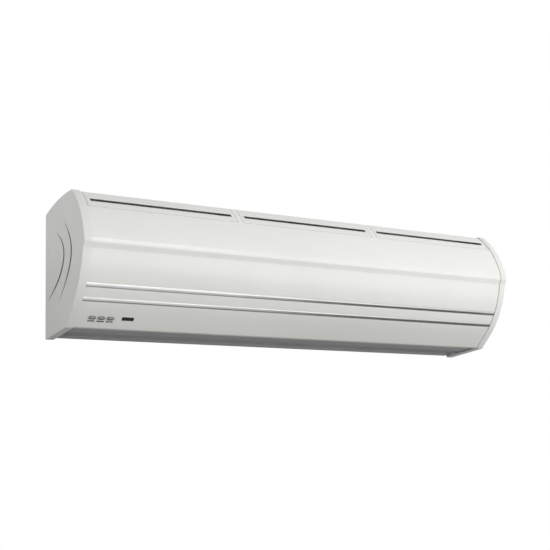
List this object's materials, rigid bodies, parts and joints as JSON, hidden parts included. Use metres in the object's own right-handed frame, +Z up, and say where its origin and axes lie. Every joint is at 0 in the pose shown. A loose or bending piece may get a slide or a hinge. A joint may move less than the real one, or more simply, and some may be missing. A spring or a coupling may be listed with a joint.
{
  "type": "air curtain",
  "caption": "Wall-mounted over-door air curtain: curved white casing with top intake grilles, chrome trim strips, push buttons, twin cross-flow impellers and a linked outlet louvre.",
  "frame": {"origin": "middle of the four wall screw holes, on the plane of the wall", "axes": "+X along the unit, to the right as seen from the front; +Y into the wall; +Z up"},
  "size_m": [0.9, 0.1895, 0.2351],
  "materials": {
    "casing_white": "smooth satin-gloss moulded plastic, near white and slightly warm",
    "cap_white": "fine-grained moulded plastic, near white",
    "grille_white": "satin moulded plastic, near white",
    "trim_chrome": "bright chromed strip with a rounded face",
    "outlet_grey": "mid grey moulded plastic, satin",
    "vane_grey": "mid grey moulded plastic, satin",
    "carrier_white": "natural white acetal",
    "button_silver": "silver-grey metallised plastic, glossy and domed",
    "window_black": "polished smoked plastic",
    "inner_white": "plain moulded plastic",
    "galvanised_sheet": "zinc-coated sheet with a faint spangle",
    "bracket_steel": "zinc-plated steel",
    "screw_steel": "bright zinc-plated screws",
    "shaft_steel": "ground steel",
    "fan_aluminium": "plain rolled aluminium blades",
    "motor_black": "black stove enamel",
    "rubber_black": "soft black rubber",
    "bearing_bronze": "oiled sintered bronze",
    "board_green": "green solder resist",
    "component_black": "black component bodies"
  },
  "bodies": {
    "housing": {"wall_plate": "galvanised_sheet", "back_chassis": "galvanised_sheet", "chassis_screws": "screw_steel", "front_panel": "casing_white", "casing_screws": "screw_steel", "intake_grille_left": "grille_white", "intake_grille_centre": "grille_white", "intake_grille_right": "grille_white", "trim_upper": "trim_chrome", "trim_lower": "trim_chrome", "end_cap_left": "cap_white", "end_cap_right": "cap_white", "cap_screws": "screw_steel", "end_plate_left": "galvanised_sheet", "end_plate_right": "galvanised_sheet", "scroll_left": "galvanised_sheet", "scroll_right": "galvanised_sheet", "tongue_left": "galvanised_sheet", "tongue_right": "galvanised_sheet", "motor_housing": "motor_black", "motor_rings": "rubber_black", "motor_cradle": "bracket_steel", "motor_straps": "bracket_steel", "bearing_left": "bearing_bronze", "bearing_right": "bearing_bronze", "bearing_seats": "rubber_black", "outlet_frame": "outlet_grey", "vane_carriers": "carrier_white", "button_housing": "inner_white", "control_board": "board_green", "button_switches": "component_black", "receiver": "component_black", "receiver_window": "window_black", "electrics_tray": "bracket_steel", "run_capacitor": "inner_white", "capacitor_clamp": "bracket_steel", "terminal_block": "inner_white", "cable_grommet": "rubber_black"},
    "rotor": {"motor_shaft": "shaft_steel", "impeller_left": "fan_aluminium", "impeller_right": "fan_aluminium", "hub_screws": "screw_steel"},
    "button_off": {"button_off": "button_silver"},
    "button_low": {"button_low": "button_silver"},
    "button_high": {"button_high": "button_silver"},
    "vane_front": {"vane_front": "vane_grey"},
    "vane_middle": {"vane_middle": "vane_grey"},
    "vane_rear": {"vane_rear": "vane_grey"},
    "vane_link": {"vane_link": "vane_grey"}
  },
  "joints": [
    {"name": "rotor_spin", "type": "hinge", "parent": "housing", "child": "rotor", "pos_m": [0, -0.082, 0.017], "axis": [1, 0, 0], "continuous": true},
    {"name": "button_off_press", "type": "slide", "parent": "housing", "child": "button_off", "axis": [0, 0.6468, 0.7627], "range_m": [0, 0.001], "stiffness_N_per_m": 400, "springref_m": -0.001},
    {"name": "button_low_press", "type": "slide", "parent": "housing", "child": "button_low", "axis": [0, 0.6468, 0.7627], "range_m": [0, 0.001], "stiffness_N_per_m": 400, "springref_m": -0.001},
    {"name": "button_high_press", "type": "slide", "parent": "housing", "child": "button_high", "axis": [0, 0.6468, 0.7627], "range_m": [0, 0.001], "stiffness_N_per_m": 400, "springref_m": -0.001},
    {"name": "vane_front_tilt", "type": "hinge", "parent": "housing", "child": "vane_front", "pos_m": [0, -0.039, -0.10919], "axis": [1, 0, 0], "range_deg": [-20, 20]},
    {"name": "vane_middle_tilt", "type": "hinge", "parent": "housing", "child": "vane_middle", "pos_m": [0, -0.029, -0.10919], "axis": [1, 0, 0], "range_deg": [-20, 20]},
    {"name": "vane_rear_tilt", "type": "hinge", "parent": "housing", "child": "vane_rear", "pos_m": [0, -0.019, -0.10919], "axis": [1, 0, 0], "range_deg": [-20, 20]},
    {"name": "vane_link_turn", "type": "hinge", "parent": "vane_front", "child": "vane_link", "pos_m": [-0.12, -0.039, -0.09519], "axis": [1, 0, 0], "range_deg": [-20, 20]}
  ],
  "couplings": [
    {"joint": "vane_middle_tilt", "follows": "vane_front_tilt", "ratio": 1},
    {"joint": "vane_rear_tilt", "follows": "vane_front_tilt", "ratio": 1},
    {"joint": "vane_link_turn", "follows": "vane_front_tilt", "ratio": -1}
  ]
}
